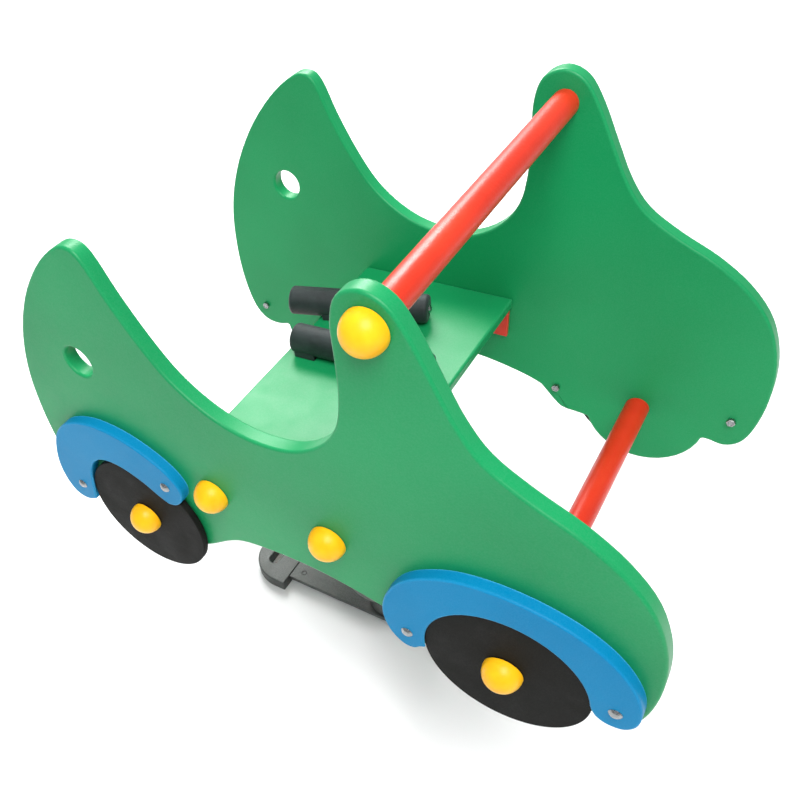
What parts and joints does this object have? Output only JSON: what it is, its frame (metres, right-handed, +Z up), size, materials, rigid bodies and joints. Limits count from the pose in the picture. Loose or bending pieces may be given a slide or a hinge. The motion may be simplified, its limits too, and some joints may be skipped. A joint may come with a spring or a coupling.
{
  "type": "seesaw",
  "caption": "Car-shaped spring rocker seesaw for one small child: two green side panels, seat, handlebar, foot bar, blue fenders, black wheels, coil spring and bolt-down base.",
  "frame": {"origin": "on the ground under the middle of the side panels", "axes": "+X towards the nose, +Y to the car's left, +Z up"},
  "size_m": [0.812, 0.549, 0.815],
  "materials": {
    "green_board": "satin through-coloured board with rounded edges",
    "blue_board": "satin through-coloured board with rounded edges",
    "black_board": "matt through-coloured board",
    "red_paint": "glossy powder coat",
    "yellow_cap": "smooth moulded plastic",
    "grey_steel": "galvanised and lightly textured steel",
    "spring_paint": "black powder coat",
    "stainless": "stainless fasteners",
    "black_rubber": "fine-grained black rubber",
    "zinc": "zinc-plated steel"
  },
  "bodies": {
    "base": {"base_bar": "grey_steel", "base_foot_rear": "grey_steel", "base_foot_front": "grey_steel", "base_screws": "grey_steel", "spring_post": "grey_steel", "spring_clamps_lower": "grey_steel", "clamp_bolts_lower": "stainless", "spring_lower_half": "spring_paint"},
    "spring_middle": {"spring_upper_half": "spring_paint"},
    "car": {"spring_top_plate": "grey_steel", "spring_clamps_upper": "grey_steel", "clamp_bolts_upper": "stainless", "frame_bolts": "stainless", "frame_nuts": "stainless", "seat_screws": "stainless", "handlebar_bolts": "stainless", "axle_bolts": "stainless", "wheel_washers": "stainless", "fender_bolts": "stainless", "fender_nuts": "stainless", "roller_end_bolts": "stainless", "frame_rail_right": "red_paint", "frame_rail_left": "red_paint", "frame_cross_rear": "red_paint", "frame_cross_front": "red_paint", "handlebar": "red_paint", "foot_bar": "red_paint", "rear_axle_tube": "red_paint", "seat_board": "green_board", "side_panel_right": "green_board", "side_panel_left": "green_board", "tube_plugs": "zinc", "wheel_bushes": "zinc", "roller_rods": "zinc", "fender_front_right": "blue_board", "fender_front_left": "blue_board", "fender_rear_right": "blue_board", "fender_rear_left": "blue_board", "cap_seats": "yellow_cap", "hub_caps": "yellow_cap", "handlebar_caps": "yellow_cap", "frame_caps": "yellow_cap", "roller_rear": "black_rubber", "roller_front": "black_rubber", "roller_brackets": "black_rubber"},
    "wheel_front_right": {"wheel_front_right": "black_board"},
    "wheel_front_left": {"wheel_front_left": "black_board"},
    "wheel_rear_right": {"wheel_rear_right": "black_board"},
    "wheel_rear_left": {"wheel_rear_left": "black_board"}
  },
  "joints": [
    {"name": "rock_fore_aft", "type": "hinge", "parent": "base", "child": "spring_middle", "pos_m": [-0.02, 0, 0.2795], "axis": [0, 1, 0], "range_deg": [-15, 15], "stiffness_Nm_per_rad": 260, "deforming": ["spring_lower_half"]},
    {"name": "rock_sideways", "type": "hinge", "parent": "spring_middle", "child": "car", "pos_m": [-0.02, 0, 0.2795], "axis": [1, 0, 0], "range_deg": [-9, 9], "stiffness_Nm_per_rad": 260, "deforming": ["spring_upper_half"]},
    {"name": "front_right_spin", "type": "hinge", "parent": "car", "child": "wheel_front_right", "pos_m": [0.258, -0.245, 0.383], "axis": [0, 1, 0], "continuous": true},
    {"name": "front_left_spin", "type": "hinge", "parent": "car", "child": "wheel_front_left", "pos_m": [0.258, 0.245, 0.383], "axis": [0, 1, 0], "continuous": true},
    {"name": "rear_right_spin", "type": "hinge", "parent": "car", "child": "wheel_rear_right", "pos_m": [-0.248, -0.245, 0.377], "axis": [0, 1, 0], "continuous": true},
    {"name": "rear_left_spin", "type": "hinge", "parent": "car", "child": "wheel_rear_left", "pos_m": [-0.248, 0.245, 0.377], "axis": [0, 1, 0], "continuous": true}
  ]
}
